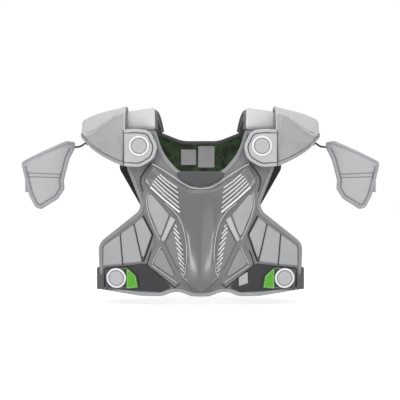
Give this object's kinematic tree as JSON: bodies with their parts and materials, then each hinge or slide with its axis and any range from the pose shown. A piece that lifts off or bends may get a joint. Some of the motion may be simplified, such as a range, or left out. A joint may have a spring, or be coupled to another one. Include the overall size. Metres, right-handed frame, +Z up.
{
  "type": "shoulder and chest protector",
  "caption": "Padded shoulder and chest protector with hinged shoulder caps, arm pads on elastic cords, a moulded sternum guard and hook-and-loop belt straps.",
  "frame": {"origin": "where the wearer's shoulders carry the two yokes: midway between them, at the height of their undersides", "axes": "+X across the shoulders to the viewer's right when facing the chest, +Y from the chest to the back, +Z up along the spine"},
  "size_m": [0.7604, 0.2523, 0.3988],
  "materials": {
    "panel_fabric": "woven",
    "binding_tape": "folded tape",
    "liner_mesh": "brushed mesh",
    "dark_textile": "woven",
    "light_moulded_foam": "pressed",
    "dark_moulded_plastic": "satin",
    "light_knit": "knit",
    "foam_lining": "brushed",
    "rubber_badge": "moulded",
    "green_rubber": "moulded",
    "elastic_webbing": "ribbed",
    "shock_cord": "braided",
    "label_satin": "satin"
  },
  "bodies": {
    "harness": {"chest_foam_panel": "panel_fabric", "back_foam_panel": "panel_fabric", "chest_binding": "binding_tape", "back_binding": "binding_tape", "chest_liner": "liner_mesh", "back_liner": "liner_mesh", "left_yoke_liner": "liner_mesh", "right_yoke_liner": "liner_mesh", "collar_pad": "dark_textile", "left_loop_landing": "dark_textile", "right_loop_landing": "dark_textile", "left_swivel_pads": "dark_textile", "right_swivel_pads": "dark_textile", "chest_plate": "light_moulded_foam", "left_chest_pads": "light_moulded_foam", "right_chest_pads": "light_moulded_foam", "left_cross_bar": "light_moulded_foam", "right_cross_bar": "light_moulded_foam", "left_rib_pads": "light_moulded_foam", "right_rib_pads": "light_moulded_foam", "sternum_guard": "dark_moulded_plastic", "spine_guard": "dark_moulded_plastic", "left_yoke": "light_knit", "right_yoke": "light_knit", "left_blade_pad": "light_knit", "right_blade_pad": "light_knit", "left_kidney_pad": "light_knit", "right_kidney_pad": "light_knit", "left_elastic_strap": "elastic_webbing", "right_elastic_strap": "elastic_webbing", "fabric_labels": "label_satin"},
    "left_cap": {"left_cap_cover": "light_knit", "left_cap_binding": "binding_tape", "left_cap_foam": "foam_lining", "left_front_flange": "dark_textile", "left_rear_flange": "dark_textile", "left_flange_badge": "rubber_badge", "left_cord_anchor": "elastic_webbing"},
    "left_arm_pad": {"left_arm_cover": "light_knit", "left_arm_foam": "foam_lining", "left_arm_strap": "elastic_webbing", "left_elastic_cord": "shock_cord"},
    "left_tab": {"left_strap_tab": "light_moulded_foam", "left_tab_patch": "green_rubber", "left_tab_badge": "rubber_badge"},
    "right_cap": {"right_cap_cover": "light_knit", "right_cap_binding": "binding_tape", "right_cap_foam": "foam_lining", "right_front_flange": "dark_textile", "right_rear_flange": "dark_textile", "right_flange_badge": "rubber_badge", "right_cord_anchor": "elastic_webbing"},
    "right_arm_pad": {"right_arm_cover": "light_knit", "right_arm_foam": "foam_lining", "right_arm_strap": "elastic_webbing", "right_elastic_cord": "shock_cord"},
    "right_tab": {"right_strap_tab": "light_moulded_foam", "right_tab_patch": "green_rubber", "right_tab_badge": "rubber_badge"}
  },
  "joints": [
    {"name": "left_cap_lift", "type": "hinge", "parent": "harness", "child": "left_cap", "pos_m": [-0.128, 0, -0.071], "axis": [0, 1, 0], "range_deg": [0, 35]},
    {"name": "left_arm_swing", "type": "hinge", "parent": "left_cap", "child": "left_arm_pad", "pos_m": [-0.243, -0.02, -0.0618], "axis": [0, 1, 0], "range_deg": [-22, 6], "stiffness_Nm_per_rad": 2.5},
    {"name": "left_tab_peel", "type": "hinge", "parent": "harness", "child": "left_tab", "pos_m": [-0.2034, -0.06853, -0.351], "axis": [0, 0.1341, -0.991], "range_deg": [0, 150]},
    {"name": "right_cap_lift", "type": "hinge", "parent": "harness", "child": "right_cap", "pos_m": [0.128, 0, -0.071], "axis": [0, -1, 0], "range_deg": [0, 35]},
    {"name": "right_arm_swing", "type": "hinge", "parent": "right_cap", "child": "right_arm_pad", "pos_m": [0.243, -0.02, -0.0618], "axis": [0, -1, 0], "range_deg": [-22, 6], "stiffness_Nm_per_rad": 2.5},
    {"name": "right_tab_peel", "type": "hinge", "parent": "harness", "child": "right_tab", "pos_m": [0.2034, -0.06853, -0.351], "axis": [0, -0.1341, 0.991], "range_deg": [0, 150]}
  ]
}
